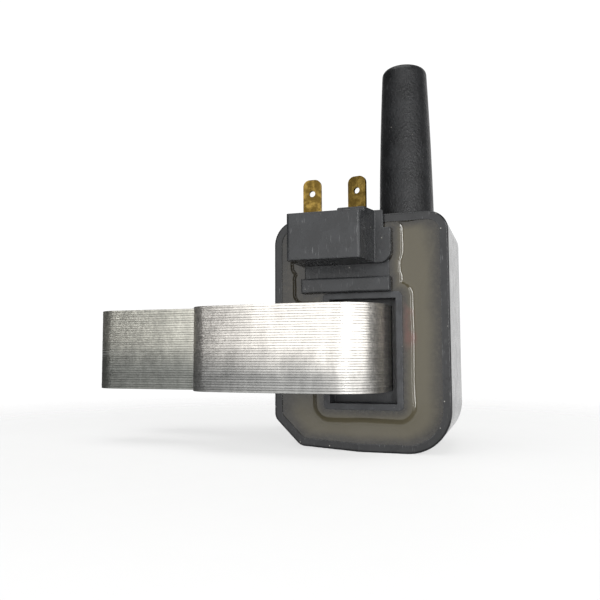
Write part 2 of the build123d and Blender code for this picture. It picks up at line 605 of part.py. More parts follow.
def ht_socket():
    """Turned brass cup in its pocket under the bore, with a pin down into the case."""
    cup = upright(SOCKET_RADIUS, SOCKET_BOTTOM, SOCKET_TOP)
    cup -= upright(SOCKET_RADIUS - SOCKET_WALL, SOCKET_BOTTOM + SOCKET_FLOOR, SOCKET_TOP)
    return cup + upright(SOCKET_PIN_RADIUS, PIN_BOTTOM, SOCKET_BOTTOM)


def wire(points, radius):
    """A round wire along straight runs joined by small bends."""
    path = FilletPolyline(*points, radius=LEAD_BEND_RADIUS)
    start = Plane(origin=path @ 0, z_dir=path % 0)
    return sweep(start * Circle(radius), path=path)


def primary_lead_left():
    """Wire from the first primary turn to the left tab's foot."""
    start_x = BORE_MIDDLE - PRIMARY_WIDTH / 2 + 2 * (WINDING_CORNER_RADIUS + PRIMARY_WIRE_RADIUS)
    rise = (TAB_FOOT - PRIMARY_TOP) / 3
    points = [
        (start_x, LEAD_PLANE, PRIMARY_TOP),
        (start_x, LEAD_PLANE, PRIMARY_TOP + rise),
        (TAB_LEFT_X, LEAD_PLANE, PRIMARY_TOP + 2 * rise),
        (TAB_LEFT_X, LEAD_PLANE, TAB_FOOT),
    ]
    return wire(points, PRIMARY_WIRE_RADIUS)


def primary_lead_right():
    """Wire from the last primary turn straight up to the right tab's foot."""
    height = TAB_FOOT - PRIMARY_TOP
    lead = Cylinder(PRIMARY_WIRE_RADIUS, height)
    return Pos(TAB_RIGHT_X, LEAD_PLANE, PRIMARY_TOP + height / 2) * lead


def secondary_start_lead():
    """Fine wire from the rearmost coil forward to the right tab's foot."""
    back = section_front(SECTION_COUNT - 1) + SECTION_LENGTH / 2
    over = TAB_FOOT_TOP + 2 * SOLDER_RADIUS
    x = TAB_RIGHT_X
    points = [(x, back, SECTION_TOP), (x, back, over), (x, LEAD_PLANE, over), (x, LEAD_PLANE, TAB_FOOT_TOP)]
    return wire(points, SECONDARY_WIRE_RADIUS)


def ht_lead():
    """Fine wire from the front coil up to the socket's pin."""
    front = section_front(0) + SECTION_LENGTH / 2
    rise = (PIN_BOTTOM - SECTION_TOP) / 3
    points = [
        (TOWER_X, front, SECTION_TOP),
        (TOWER_X, front, SECTION_TOP + rise),
        (TOWER_X, TOWER_Y, SECTION_TOP + 2 * rise),
        (TOWER_X, TOWER_Y, PIN_BOTTOM),
    ]
    return wire(points, SECONDARY_WIRE_RADIUS)


def terminal_solder_joints():
    """Solder on the tabs' feet, below each foot and above the right one."""
    half = block((-SOLDER_RADIUS, -SOLDER_RADIUS, -SOLDER_RADIUS), (SOLDER_RADIUS, SOLDER_RADIUS, 0))
    under = Sphere(SOLDER_RADIUS) & half
    over = Rot(180, 0, 0) * under
    left = Pos(TAB_LEFT_X, LEAD_PLANE, TAB_FOOT) * under - primary_lead_left()
    right = Pos(TAB_RIGHT_X, LEAD_PLANE, TAB_FOOT) * under - primary_lead_right()
    top = Pos(TAB_RIGHT_X, LEAD_PLANE, TAB_FOOT_TOP) * over - secondary_start_lead()
    return [left, right, top]


def ht_solder_joint():
    """Solder where the fine wire meets the socket's pin."""
    drop = Pos(TOWER_X, TOWER_Y, PIN_BOTTOM) * Sphere(HT_SOLDER_RADIUS)
    return drop - ht_lead() - ht_socket()


def potting_resin(embedded):
    """Resin that fills the case round everything inside it."""
    resin = cavity(RESIN_FACE) - bobbin_envelope()
    for solid in embedded:
        resin -= solid
    return resin


def as_list(made):
    return made if isinstance(made, list) else [made]


def save(name, made):
    solids = [solid for shape in as_list(made) for solid in shape.solids()]
    export_step(Compound(solids), f"parts/{name}.step")


def main():
    os.makedirs("parts", exist_ok=True)
    makers = [
        core_u_laminations, core_i_laminations, core_rivets, core_welds, air_gap_shim, leg_wedge,
        case_shell, primary_bobbin, primary_winding, primary_insulation, secondary_bobbin,
        secondary_winding, terminal_block, terminal_tab_left, terminal_tab_right, ht_tower, ht_socket,
        primary_lead_left, primary_lead_right, secondary_start_lead, ht_lead,
        terminal_solder_joints, ht_solder_joint,
    ]
    made = {maker.__name__: maker() for maker in makers}
    outside = {"core_u_laminations", "core_i_laminations", "core_rivets", "core_welds", "air_gap_shim",
               "leg_wedge", "case_shell", "primary_bobbin"}
    embedded = [shape for name, item in made.items() if name not in outside for shape in as_list(item)]
    made["potting_resin"] = potting_resin(embedded)
    for name, item in made.items():
        save(name, item)


main()
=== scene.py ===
import math

import bmesh
import bpy
import numpy as np
from mathutils import Matrix, Vector
from mathutils.geometry import delaunay_2d_cdt, tessellate_polygon
from mathutils.noise import noise as noise_at


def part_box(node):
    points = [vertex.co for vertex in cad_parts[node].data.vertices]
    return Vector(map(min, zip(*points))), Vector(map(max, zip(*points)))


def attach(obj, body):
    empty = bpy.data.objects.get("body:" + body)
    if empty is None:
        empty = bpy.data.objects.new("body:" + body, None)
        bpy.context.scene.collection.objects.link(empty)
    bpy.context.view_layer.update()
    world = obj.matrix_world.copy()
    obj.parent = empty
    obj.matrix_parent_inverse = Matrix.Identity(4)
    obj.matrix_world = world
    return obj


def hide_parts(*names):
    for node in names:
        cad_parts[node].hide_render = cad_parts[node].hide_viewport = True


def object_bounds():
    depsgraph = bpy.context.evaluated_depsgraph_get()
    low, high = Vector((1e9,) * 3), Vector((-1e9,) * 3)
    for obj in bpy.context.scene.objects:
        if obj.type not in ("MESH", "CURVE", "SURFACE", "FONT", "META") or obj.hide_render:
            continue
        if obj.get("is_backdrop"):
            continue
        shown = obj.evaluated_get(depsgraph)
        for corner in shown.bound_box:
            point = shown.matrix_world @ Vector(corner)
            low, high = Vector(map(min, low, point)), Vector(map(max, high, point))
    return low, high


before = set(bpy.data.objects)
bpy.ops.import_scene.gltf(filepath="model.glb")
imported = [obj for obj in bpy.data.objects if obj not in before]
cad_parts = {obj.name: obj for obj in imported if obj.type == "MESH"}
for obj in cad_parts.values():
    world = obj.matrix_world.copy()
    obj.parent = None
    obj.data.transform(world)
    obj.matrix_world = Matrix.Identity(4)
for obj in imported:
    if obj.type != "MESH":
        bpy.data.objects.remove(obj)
cad_low, cad_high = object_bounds()
MM = 0.001


# ---- core leaves ----
# 34 leaves of 24 gauge electrical steel, stamped with two ears, an outer leg and a centre leg, and as
# many straight leaves that close the core behind the case. Each has the rolled edge that the punch leaves
# on one side and the torn edge on the other, and is up to 0.018 mm out of place each way.
LEAF_PITCH = 0.635 * MM
LEAF_COUNT = 34
LEAF_PLAY = 0.018 * MM
PUNCHED_EDGE = (
    (0.06, 0.0), (0.02, 0.01), (0.005, 0.04), (0.0, 0.08), (0.0, 0.11),
    (0.0, 0.43), (0.0, 0.46), (0.008, 0.53), (0.012, 0.59), (0.025, 0.6),
)
STEEL_BRIGHT = (0.79, 0.758, 0.71, 1)
# Painted shade on the leaves low down and on the ears; on the rivets, dull patches of their own.
STEEL_DULL_AND_SHADE = (0.33, 0.33, 0.322, 1)
# Painted shade on the ears, slightly green.
EAR_SHADE = (0.81, 0.83, 0.79, 1)
VARNISH = (0.10, 0.085, 0.07, 1)
# Painted shade on the leaves begins below the first height and is whole below the second.
SHADE_BELOW = 17 * MM
FULL_SHADE_BELOW = 7 * MM
# Where the painted shade on the ears begins and where it is whole.
EAR_SHADE_BEGIN = 27 * MM
EAR_SHADE_WHOLE = 23.5 * MM
CURVE_TURN = math.radians(20)


def named(sockets, name):
    """The socket in use that has this name."""
    return next(s for s in sockets if s.name == name and s.enabled)


def put(tree, kind, inputs=None, **settings):
    """A node with its settings, and its inputs set or linked by name."""
    made = tree.nodes.new(kind)
    for key, value in settings.items():
        setattr(made, key, value)
    for name, value in (inputs or {}).items():
        socket = named(made.inputs, name)
        if isinstance(value, bpy.types.NodeSocket):
            tree.links.new(value, socket)
        else:
            socket.default_value = value
    return made


def sums(tree, operation, *values):
    """A Math node's result."""
    made = tree.nodes.new("ShaderNodeMath")
    made.operation = operation
    for socket, value in zip(made.inputs, values):
        if isinstance(value, bpy.types.NodeSocket):
            tree.links.new(value, socket)
        else:
            socket.default_value = value
    return made.outputs[0]


def eased(tree, value, low, high, start=0.0, end=1.0):
    """A value that goes smoothly from start to end as the given one goes from low to high."""
    given = {"Value": value, "From Min": low, "From Max": high, "To Min": start, "To Max": end}
    return put(tree, "ShaderNodeMapRange", given, interpolation_type="SMOOTHSTEP").outputs[0]


def mixed(tree, factor, first, second):
    """One colour over another."""
    given = {"Factor": factor, "A": first, "B": second}
    return named(put(tree, "ShaderNodeMix", given, data_type="RGBA").outputs, "Result")


def tinted(tree, colour, tint):
    """One colour times another."""
    given = {"Factor": 1.0, "A": colour, "B": tint}
    made = put(tree, "ShaderNodeMix", given, data_type="RGBA", blend_type="MULTIPLY")
    return named(made.outputs, "Result")


def noise(tree, place, scale, detail=3.0, rough=0.55, stretch=(1, 1, 1)):
    """Noise at a number of lumps to the metre, longer where the stretch is small."""
    turned = put(tree, "ShaderNodeMapping", {"Vector": place, "Scale": stretch}).outputs[0]
    given = {"Vector": turned, "Scale": scale, "Detail": detail, "Roughness": rough}
    return put(tree, "ShaderNodeTexNoise", given).outputs["Fac"]


def spot(tree):
    """Where a point lies on the object."""
    return put(tree, "ShaderNodeTexCoord").outputs["Object"]


def apart(tree, vector):
    """A vector's X, Y and Z."""
    return put(tree, "ShaderNodeSeparateXYZ", {"Vector": vector}).outputs


def new_material(name, **constants):
    """A material with one Principled shader, whose even values stand on its own sockets."""
    made = bpy.data.materials.new(name)
    made.use_nodes = True
    shader = made.node_tree.nodes["Principled BSDF"]
    for key, value in constants.items():
        shader.inputs[key.replace("_", " ").title().replace("Ior", "IOR")].default_value = value
    return made.node_tree, shader, made


def bumped(tree, shader, height, depth):
    """A Bump node on the shader's normal."""
    bump = put(tree, "ShaderNodeBump", {"Height": height, "Distance": depth})
    tree.links.new(bump.outputs[0], shader.inputs["Normal"])
    return bump


def shade_group(name, inputs, outputs):
    """An empty shader group with named inputs and outputs."""
    tree = bpy.data.node_groups.new(name, "ShaderNodeTree")
    for socket, value in inputs.items():
        made = tree.interface.new_socket(socket, in_out="INPUT", socket_type="NodeSocketFloat")
        made.default_value = value
    for socket in outputs:
        tree.interface.new_socket(socket, in_out="OUTPUT", socket_type="NodeSocketFloat")
    given = tree.nodes.new("NodeGroupInput").outputs
    result = tree.nodes.new("NodeGroupOutput").inputs
    return tree, given, result


def use_group(tree, group, **values):
    """A group placed in a material with its own values."""
    made = tree.nodes.new("ShaderNodeGroup")
    made.node_tree = group
    for name, value in values.items():
        made.inputs[name.replace("_", " ").capitalize()].default_value = value
    return made.outputs


def streak_group():
    """Long fine streaks along the height of a punched edge."""
    asked = {"Spacing": 0.0003, "Length": 8.0}
    tree, given, result = shade_group("punch_streaks", asked, ["Height", "Patch"])
    place = spot(tree)
    way = apart(tree, place)
    scale = sums(tree, "DIVIDE", 1.0, given["Spacing"])
    short = sums(tree, "DIVIDE", way["Z"], given["Length"])
    along = put(tree, "ShaderNodeCombineXYZ", {"X": way["X"], "Y": way["Y"], "Z": short}).outputs[0]
    fine = put(tree, "ShaderNodeTexNoise", {"Vector": along, "Scale": scale, "Detail": 4.0, "Roughness": 0.6})
    broad = noise(tree, place, 260.0, 3.0, 0.6, (1, 1, 0.35))
    tree.links.new(fine.outputs["Fac"], result["Height"])
    tree.links.new(broad, result["Patch"])
    return tree


PUNCH_STREAKS = streak_group()


def leaf_steel():
    """Cut steel edges with varnish between the leaves: bright on top, rougher and in painted shade low down,
    and in painted shade on the ears.
    """
    tree, shader, material = new_material("leaf_steel", metallic=1.0)
    place = spot(tree)
    way = apart(tree, place)
    streaks = use_group(tree, PUNCH_STREAKS, spacing=0.00022, length=9.0)
    tone = put(tree, "ShaderNodeAttribute", attribute_name="leaf_tone").outputs["Fac"]
    facing = apart(tree, put(tree, "ShaderNodeNewGeometry").outputs["Normal"])
    flat = eased(tree, sums(tree, "ABSOLUTE", facing["Z"]), 0.6, 0.9)

    # Painted shade towards the bottom of the stack, with a ragged edge, weaker by the centre leg.
    height = sums(tree, "MULTIPLY_ADD", streaks["Patch"], 0.003, way["Z"])
    height = sums(tree, "MULTIPLY_ADD", way["X"], 0.06, height)
    less_shade_by_leg = eased(tree, way["X"], 0.058, 0.078, 1.0, 0.4)
    low = sums(tree, "MULTIPLY", eased(tree, height, SHADE_BELOW, FULL_SHADE_BELOW), less_shade_by_leg)
    # Painted shade on the ears, carried by the tint below.
    ear_shade = eased(tree, way["X"], EAR_SHADE_BEGIN, EAR_SHADE_WHOLE)
    shaded_low = mixed(tree, low, STEEL_BRIGHT, STEEL_DULL_AND_SHADE)
    tint = mixed(tree, ear_shade, (1, 1, 1, 1), EAR_SHADE)
    colour = tinted(tree, shaded_low, tint)

    level = sums(tree, "FRACT", sums(tree, "DIVIDE", way["Z"], LEAF_PITCH))
    seam = sums(tree, "MAXIMUM", eased(tree, level, 0.16, 0.0), eased(tree, level, 0.82, 0.96))
    seam = sums(tree, "MULTIPLY", seam, sums(tree, "SUBTRACT", 1.0, flat))
    colour = mixed(tree, sums(tree, "MULTIPLY", seam, 0.13), colour, VARNISH)
    shade = sums(tree, "MULTIPLY_ADD", tone, 0.2, 0.85)
    speck = noise(tree, place, 1500.0, 2.0, 0.7, (1, 1, 0.8))
    marks = eased(tree, noise(tree, place, 420.0, 5.0, 0.7, (1, 1, 0.22)), 0.66, 0.76)
    shade = sums(tree, "MULTIPLY", shade, eased(tree, streaks["Patch"], 0.3, 0.7, 0.84, 1.08))
    shade = sums(tree, "MULTIPLY", shade, eased(tree, speck, 0.3, 0.7, 0.86, 1.1))
    shade = sums(tree, "MULTIPLY", shade, sums(tree, "MULTIPLY_ADD", marks, -0.35, 1.0))
    shaded = put(tree, "ShaderNodeVectorMath", {"Vector": colour, "Scale": shade}, operation="SCALE")
    colour = shaded.outputs[0]
    tree.links.new(colour, shader.inputs["Base Color"])

    rough = sums(tree, "MULTIPLY_ADD", low, 0.08, 0.33)
    rough = sums(tree, "ADD", rough, sums(tree, "MULTIPLY", seam, 0.2))
    rough = sums(tree, "ADD", rough, eased(tree, speck, 0.25, 0.75, -0.05, 0.07))
    tree.links.new(rough, shader.inputs["Roughness"])
    relief = sums(tree, "ADD", streaks["Height"], sums(tree, "MULTIPLY", speck, 0.5))
    bumped(tree, shader, relief, 0.000008)
    return material


LEAF_STEEL = leaf_steel()


def merged_copy(node):
    """The CAD node's mesh with its loose triangles joined."""
    bm = bmesh.new()
    bm.from_mesh(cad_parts[node].data)
    bmesh.ops.remove_doubles(bm, verts=bm.verts, dist=1e-6)
    return bm


def rings(faces):
    """The borders of a patch of faces, each in order with the patch on its left."""
    patch = set(faces)
    following = {}
    for face in faces:
        for loop in face.loops:
            if not any(f in patch and f is not face for f in loop.edge.link_faces):
                following[loop.vert] = loop.link_loop_next.vert
    found = []
    while following:
        first, vert = following.popitem()
        ring = [first]
        while vert is not first:
            ring.append(vert)
            vert = following.pop(vert)
        found.append(ring)
    return found


def leaf_outlines(node):
    """The lowest leaf's outer edge and holes."""
    bm = merged_copy(node)
    thickness = PUNCHED_EDGE[-1][1] * MM
    top = [
        f for f in bm.faces
        if f.normal.z > 0.99 and abs(f.calc_center_median().z - thickness) < 0.02 * MM
    ]
    outlines = [[v.co.to_2d() for v in ring] for ring in rings(top)]
    bm.free()
    return outlines


def drawn_in(outline, distance):
    """An outline moved into the steel, which lies on its left."""
    moved = []
    for i, corner in enumerate(outline):
        before = (corner - outline[i - 1]).normalized()
        after = (outline[(i + 1) % len(outline)] - corner).normalized()
        left = Vector((-before.y - after.y, before.x + after.x))
        square = left.normalized()
        reach = max(square.dot(Vector((-after.y, after.x))), 0.3)
        moved.append(corner + square * distance / reach)
    return moved


def square_corner(before, corner, after):
    """True where an outline turns more than it does along a curve."""
    return (corner - before).angle(after - corner) > CURVE_TURN


def one_leaf(node):
    """A leaf with the profile of a punched edge all round it and round its holes."""
    bm = bmesh.new()
    ends = {0: [], len(PUNCHED_EDGE) - 1: []}
    for outline in leaf_outlines(node):
        levels = []
        for i, (inset, z) in enumerate(PUNCHED_EDGE):
            ring = [bm.verts.new((p.x, p.y, z * MM)) for p in drawn_in(outline, inset * MM)]
            levels.append(ring)
            if i in ends:
                ends[i].append(ring)
        for lower, upper in zip(levels, levels[1:]):
            for a in range(len(lower)):
                b = (a + 1) % len(lower)
                wall = bm.faces.new((lower[a], lower[b], upper[b], upper[a]))
                wall.smooth = True
        for a, corner in enumerate(outline):
            if square_corner(outline[a - 1], corner, outline[(a + 1) % len(outline)]):
                for lower, upper in zip(levels, levels[1:]):
                    bm.edges.get((lower[a], upper[a])).smooth = False
    for i, borders in ends.items():
        verts = [v for ring in borders for v in ring]
        for face in tessellate_polygon([[v.co for v in ring] for ring in borders]):
            corners = [verts[c] for c in face]
            made = bm.faces.new(corners)
            made.normal_update()
            if (made.normal.z > 0) != (i > 0):
                made.normal_flip()
    mesh = bpy.data.meshes.new("leaf")
    bm.to_mesh(mesh)
    bm.free()
    return mesh


def stack_tree():
    """Piles up one leaf, each a little out of line, with a tone of its own."""
    tree = bpy.data.node_groups.new("leaf_stack", "GeometryNodeTree")
    sockets = {
        "Leaf": "NodeSocketGeometry", "Leaves": "NodeSocketInt", "Pitch": "NodeSocketFloat",
        "Play": "NodeSocketFloat", "Seed": "NodeSocketInt", "Steel": "NodeSocketMaterial",
    }
    for name, kind in sockets.items():
        tree.interface.new_socket(name, in_out="INPUT", socket_type=kind)
    tree.interface.new_socket("Stack", in_out="OUTPUT", socket_type="NodeSocketGeometry")
    given = tree.nodes.new("NodeGroupInput").outputs
    step = put(tree, "ShaderNodeCombineXYZ", {"Z": given["Pitch"]}).outputs[0]
    line = put(tree, "GeometryNodeMeshLine", {"Count": given["Leaves"], "Offset": step}).outputs[0]
    pile = put(tree, "GeometryNodeInstanceOnPoints", {"Points": line, "Instance": given["Leaf"]}).outputs[0]
    less = sums(tree, "MULTIPLY", given["Play"], -1.0)
    least = put(tree, "ShaderNodeCombineXYZ", {"X": less, "Y": less}).outputs[0]
    most = put(tree, "ShaderNodeCombineXYZ", {"X": given["Play"], "Y": given["Play"]}).outputs[0]
    shift = put(tree, "FunctionNodeRandomValue", {"Min": least, "Max": most, "Seed": given["Seed"]},
                data_type="FLOAT_VECTOR")
    moved = put(tree, "GeometryNodeTranslateInstances",
                {"Instances": pile, "Translation": named(shift.outputs, "Value")}).outputs[0]
    tone = put(tree, "FunctionNodeRandomValue", {"Min": 0.0, "Max": 1.0, "Seed": given["Seed"]},
               data_type="FLOAT")
    toned = put(tree, "GeometryNodeStoreNamedAttribute",
                {"Geometry": moved, "Name": "leaf_tone", "Value": named(tone.outputs, "Value")},
                data_type="FLOAT", domain="INSTANCE").outputs[0]
    whole = put(tree, "GeometryNodeRealizeInstances", {"Geometry": toned}).outputs[0]
    steel = put(tree, "GeometryNodeSetMaterial", {"Geometry": whole, "Material": given["Steel"]}).outputs[0]
    out = tree.nodes.new("NodeGroupOutput")
    tree.links.new(steel, out.inputs["Stack"])
    return tree


def grown(name, mesh, tree, values):
    """A piece made by a Geometry Nodes tree with these values, as a plain mesh."""
    piece = bpy.data.objects.new(name, mesh)
    bpy.context.scene.collection.objects.link(piece)
    modifier = piece.modifiers.new("made", "NODES")
    modifier.node_group = tree
    for item in tree.interface.items_tree:
        if item.in_out == "INPUT" and item.name in values:
            modifier[item.identifier] = values[item.name]
    shown = piece.evaluated_get(bpy.context.evaluated_depsgraph_get())
    plain = bpy.data.meshes.new_from_object(shown)
    piece.modifiers.clear()
    piece.data = plain
    return piece


LEAF_STACK = stack_tree()
for name, node, seed in (
    ("core_u_leaves", "core_u_laminations", 4),
    ("core_i_leaves", "core_i_laminations", 9),
):
    leaf_values = {
        "Leaves": LEAF_COUNT, "Pitch": LEAF_PITCH, "Play": LEAF_PLAY, "Seed": seed, "Steel": LEAF_STEEL,
    }
    stack = grown(name, one_leaf(node), LEAF_STACK, leaf_values)
    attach(stack, "root")
    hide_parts(node)


# ---- rivets ----
# Five steel pins through the leaves, swaged flush in both faces, each with the dimple of the tool.
RIVET_STEEL = (0.50, 0.49, 0.47, 1)


def finish_node(node, material):
    """A CAD node takes a material in each of its slots."""
    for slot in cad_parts[node].material_slots:
        slot.material = material


def rivet_steel():
    """Drawn steel with a fine grain and duller patches."""
    tree, shader, material = new_material("rivet_steel", metallic=1.0)
    place = spot(tree)
    patch = noise(tree, place, 900.0, 4.0)
    colour = mixed(tree, eased(tree, patch, 0.35, 0.7), RIVET_STEEL, STEEL_DULL_AND_SHADE)
    tree.links.new(colour, shader.inputs["Base Color"])
    tree.links.new(eased(tree, patch, 0.3, 0.7, 0.3, 0.48), shader.inputs["Roughness"])
    bumped(tree, shader, noise(tree, place, 3200.0, 2.0), 0.00003)
    return material


finish_node("core_rivets", rivet_steel())


# ---- welds ----
# Two beads laid across the joint of the two stacks, one scale over the next as the torch goes down.
WELD_RADIUS = 1.0 * MM
WELD_STEP = 0.62 * MM
WELD_SIDES = 9
WELD_COLOUR = (0.34, 0.32, 0.30, 1)
WELD_HEAT = (0.16, 0.12, 0.13, 1)


def weld_metal():
    """Bare weld metal with heat colours."""
    tree, shader, material = new_material("weld_metal", metallic=1.0)
    place = spot(tree)
    heat = eased(tree, noise(tree, place, 700.0, 4.0), 0.4, 0.65)
    tree.links.new(mixed(tree, heat, WELD_COLOUR, WELD_HEAT), shader.inputs["Base Color"])
    tree.links.new(sums(tree, "MULTIPLY_ADD", heat, 0.2, 0.34), shader.inputs["Roughness"])
    bumped(tree, shader, noise(tree, place, 2600.0, 3.0), 0.00004)
    return material


def weld_rings(bm, x, y, radius, first, last, low, high):
    """One bead on an upright line, round from one angle to another, closed at its ends and its back."""
    rows = int((high - low) / WELD_STEP) * 4
    made = []
    for row in range(rows + 1):
        z = low + (high - low) * row / rows
        swell = 0.86 + 0.12 * (1 - (row % 4) / 4) + 0.02 * math.sin(row * 1.7)
        ring = [bm.verts.new((x, y, z))]
        for side in range(WELD_SIDES):
            angle = first + (last - first) * side / (WELD_SIDES - 1)
            sag = 0.18 * math.sin(math.pi * side / (WELD_SIDES - 1)) * WELD_STEP
            point = (x + radius * swell * math.cos(angle), y + radius * swell * math.sin(angle), z)
            ring.append(bm.verts.new((point[0], point[1], max(low, z - sag))))
        made.append(ring)
    for lower, upper in zip(made, made[1:]):
        for a in range(len(lower)):
            b = (a + 1) % len(lower)
            bm.faces.new((lower[a], lower[b], upper[b], upper[a]))
    bm.faces.new(list(reversed(made[0])))
    bm.faces.new(made[-1])


def welds():
    """Both beads, from the lowest leaf to the top one."""
    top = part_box("core_welds")[1].z
    low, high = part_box("core_i_laminations")
    bm = bmesh.new()
    weld_rings(bm, low.x, low.y, WELD_RADIUS, math.radians(90), math.radians(180), 0.0, top)
    weld_rings(bm, high.x, low.y, WELD_RADIUS, math.radians(-90), math.radians(90), 0.0, top)
    mesh = bpy.data.meshes.new("weld_beads")
    bm.to_mesh(mesh)
    bm.free()
    mesh.materials.append(weld_metal())
    beads = bpy.data.objects.new("weld_beads", mesh)
    bpy.context.scene.collection.objects.link(beads)
    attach(beads, "root")
    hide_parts("core_welds")


welds()


# ---- shim and wedge ----
# A strip of vulcanised fibre keeps the air gap at the end of the centre leg, and another takes up the
# play between the leg and its bobbin. Both are cut from sheet and pushed in dry.
FIBRE_RED = (0.20, 0.07, 0.045, 1)
FIBRE_PALE = (0.28, 0.12, 0.08, 1)


def fibre():
    """Fibre sheet with short flecks."""
    tree, shader, material = new_material("fibre_sheet")
    place = spot(tree)
    flecks = noise(tree, place, 2200.0, 4.0, 0.6, (1, 1, 0.3))
    colour = mixed(tree, eased(tree, flecks, 0.4, 0.65), FIBRE_RED, FIBRE_PALE)
    tree.links.new(colour, shader.inputs["Base Color"])
    tree.links.new(eased(tree, flecks, 0.3, 0.7, 0.55, 0.75), shader.inputs["Roughness"])
    bumped(tree, shader, flecks, 0.00003)
    return material


FIBRE = fibre()
finish_node("air_gap_shim", FIBRE)
finish_node("leg_wedge", FIBRE)


# ---- primary bobbin ----
# Injection moulded in black nylon. It slides on the centre leg, and its wide mouth stands
# level with the case's rim, open round the leg.
BOBBIN_BLACK = (0.030, 0.0312, 0.0335, 1)
BOBBIN_SHEEN = (0.054, 0.056, 0.060, 1)
RUBBED_GREY = (0.16, 0.165, 0.17, 1)
SCRATCHED_GREY = (0.24, 0.245, 0.25, 1)
SPECK_CREAM = (0.55, 0.53, 0.47, 1)


def grain_group():
    """The fine spark-eroded grain of a mould, with broad patches of more and less shine."""
    asked = {"Size": 0.0003, "Patch size": 0.004}
    tree, given, result = shade_group("mould_grain", asked, ["Height", "Patch"])
    place = spot(tree)
    fine = put(tree, "ShaderNodeTexNoise", {
        "Vector": place, "Scale": sums(tree, "DIVIDE", 1.0, given["Size"]), "Detail": 3.0, "Roughness": 0.6})
    broad = put(tree, "ShaderNodeTexNoise", {
        "Vector": place, "Scale": sums(tree, "DIVIDE", 1.0, given["Patch size"]),
        "Detail": 4.0, "Roughness": 0.6})
    tree.links.new(fine.outputs["Fac"], result["Height"])
    tree.links.new(broad.outputs["Fac"], result["Patch"])
    return tree


def wear_group():
    """Pale rubbed edges, broken up along their length."""
    tree, given, result = shade_group("rubbed_edges", {"Width": 0.0003, "Amount": 1.0}, ["Mask"])
    place = spot(tree)
    soft = put(tree, "ShaderNodeBevel", {"Radius": given["Width"]}, samples=6).outputs[0]
    true = put(tree, "ShaderNodeNewGeometry").outputs["Normal"]
    match = put(tree, "ShaderNodeVectorMath", {}, operation="DOT_PRODUCT")
    tree.links.new(soft, match.inputs[0])
    tree.links.new(true, match.inputs[1])
    edge = eased(tree, match.outputs["Value"], 0.995, 0.86)
    broken = eased(tree, noise(tree, place, 900.0, 4.0, 0.65), 0.38, 0.62)
    mask = sums(tree, "MULTIPLY", sums(tree, "MULTIPLY", edge, broken), given["Amount"])
    tree.links.new(mask, result["Mask"])
    return tree


def scuff_group():
    """Short upright scratches in three layers, and small pale specks."""
    tree, given, result = shade_group("scuffs", {"Amount": 0.5, "Specks": 0.5}, ["Scratches", "Dots"])
    place = spot(tree)
    found = None
    for turn, seed in ((1.45, 0.0), (-0.75, 3.1), (1.75, 7.7)):
        turned = put(tree, "ShaderNodeMapping", {
            "Vector": place, "Rotation": (0.2, turn, 0.1),
            "Location": (seed, 0, seed), "Scale": (1, 1, 0.06)})
        lines = put(tree, "ShaderNodeTexNoise", {
            "Vector": turned.outputs[0], "Scale": 4200.0, "Detail": 1.0, "Roughness": 0.4}).outputs["Fac"]
        thin = eased(tree, lines, 0.69, 0.75)
        found = thin if found is None else sums(tree, "MAXIMUM", found, thin)
    where = eased(tree, noise(tree, place, 420.0, 3.0), 0.45, 0.62)
    scratches = sums(tree, "MULTIPLY", sums(tree, "MULTIPLY", found, where), given["Amount"])
    cells = put(tree, "ShaderNodeTexVoronoi", {"Vector": place, "Scale": 900.0})
    chosen = put(tree, "ShaderNodeSeparateColor", {"Color": cells.outputs["Color"]}).outputs[0]
    rare = eased(tree, chosen, 0.93, 0.95)
    dots = sums(tree, "MULTIPLY", eased(tree, cells.outputs["Distance"], 0.16, 0.08), rare)
    tree.links.new(scratches, result["Scratches"])
    tree.links.new(sums(tree, "MULTIPLY", dots, given["Specks"]), result["Dots"])
    return tree


MOULD_GRAIN = grain_group()
RUBBED_EDGES = wear_group()
SCUFFS = scuff_group()


def moulded(name, dark, sheen, grain_size, grain_depth, rough, rub, scratch, specks,
            coat=0.0, level=0.3, edge=0.3 * MM):
    """A moulded plastic with grain, rubbed edges, scratches and specks in its own amounts."""
    tree, shader, material = new_material(
        name, ior=1.5, specular_ior_level=level, coat_weight=coat, coat_roughness=0.08)
    grain = use_group(tree, MOULD_GRAIN, size=grain_size, patch_size=0.005)
    rubbed = use_group(tree, RUBBED_EDGES, width=0.00035, amount=rub)["Mask"]
    scuffs = use_group(tree, SCUFFS, amount=scratch, specks=specks)
    colour = mixed(tree, eased(tree, grain["Patch"], 0.35, 0.68), dark, sheen)
    colour = mixed(tree, sums(tree, "MULTIPLY", rubbed, 0.5), colour, RUBBED_GREY)
    colour = mixed(tree, sums(tree, "MULTIPLY", scuffs["Scratches"], 0.6), colour, SCRATCHED_GREY)
    colour = mixed(tree, scuffs["Dots"], colour, SPECK_CREAM)
    tree.links.new(colour, shader.inputs["Base Color"])
    uneven = eased(tree, grain["Patch"], 0.3, 0.7, rough, rough + 0.12)
    uneven = sums(tree, "MULTIPLY_ADD", rubbed, -0.08, uneven)
    tree.links.new(uneven, shader.inputs["Roughness"])
    relief = sums(tree, "SUBTRACT", grain["Height"], sums(tree, "MULTIPLY", scuffs["Scratches"], 0.8))
    bump = bumped(tree, shader, relief, grain_depth)
    soft = put(tree, "ShaderNodeBevel", {"Radius": edge}, samples=6).outputs[0]
    tree.links.new(soft, bump.inputs["Normal"])
    return material


finish_node("primary_bobbin", moulded(
    "bobbin_nylon", BOBBIN_BLACK, BOBBIN_SHEEN, grain_size=0.4 * MM, grain_depth=0.03 * MM,
    rough=0.3, rub=0.9, scratch=0.3, specks=0.3))


